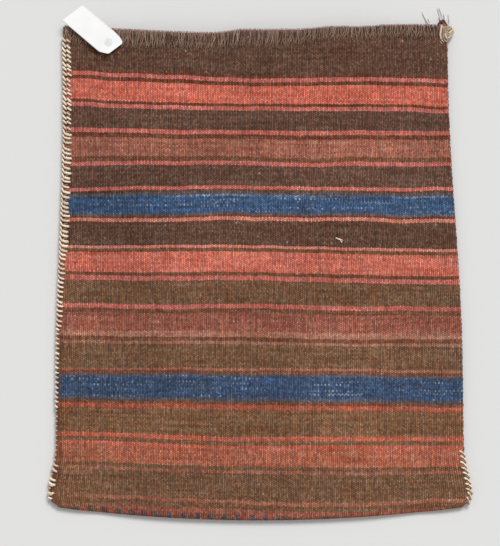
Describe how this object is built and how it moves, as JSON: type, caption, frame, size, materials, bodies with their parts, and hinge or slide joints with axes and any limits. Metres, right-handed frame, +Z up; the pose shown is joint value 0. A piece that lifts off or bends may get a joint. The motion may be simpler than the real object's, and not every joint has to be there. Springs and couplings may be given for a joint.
{
  "type": "storage bag",
  "caption": "Flat woven wool storage bag with coloured weft bands, whipped side seams, a fringe turned over its open mouth, a yarn-bound corner and a blank card tag.",
  "frame": {"origin": "middle of the bag's underside, on the flat rib of the back wall that lies on the floor", "axes": "+X across the bag towards its bound corner, +Y along the bag towards its open mouth, +Z up from the floor through the back wall and then the front wall"},
  "size_m": [0.577, 0.6997, 0.0208],
  "materials": {
    "banded_wool": "weft-faced wool weave in bands of brown, red, madder and blue, matt",
    "cream_yarn": "thick cream cotton yarn, matt",
    "brown_yarn": "brown wool yarn, matt",
    "tan_yarn": "tan and pale pink wool yarn, matt",
    "grey_yarn": "grey-white yarn ends, matt",
    "white_card": "stiff white card, matt",
    "patch_paper": "pale grey paper, matt"
  },
  "bodies": {
    "root": {"bag_cloth": "banded_wool", "left_seam_stitches": "cream_yarn", "right_seam_stitches": "cream_yarn", "right_seam_yarn": "brown_yarn", "mouth_fringe": "brown_yarn", "corner_binding": "tan_yarn", "corner_knot": "brown_yarn", "left_yarn_tail": "grey_yarn", "middle_yarn_tail": "grey_yarn", "right_yarn_tail": "grey_yarn", "tag_card": "white_card", "tag_patch": "patch_paper"}
  },
  "joints": []
}
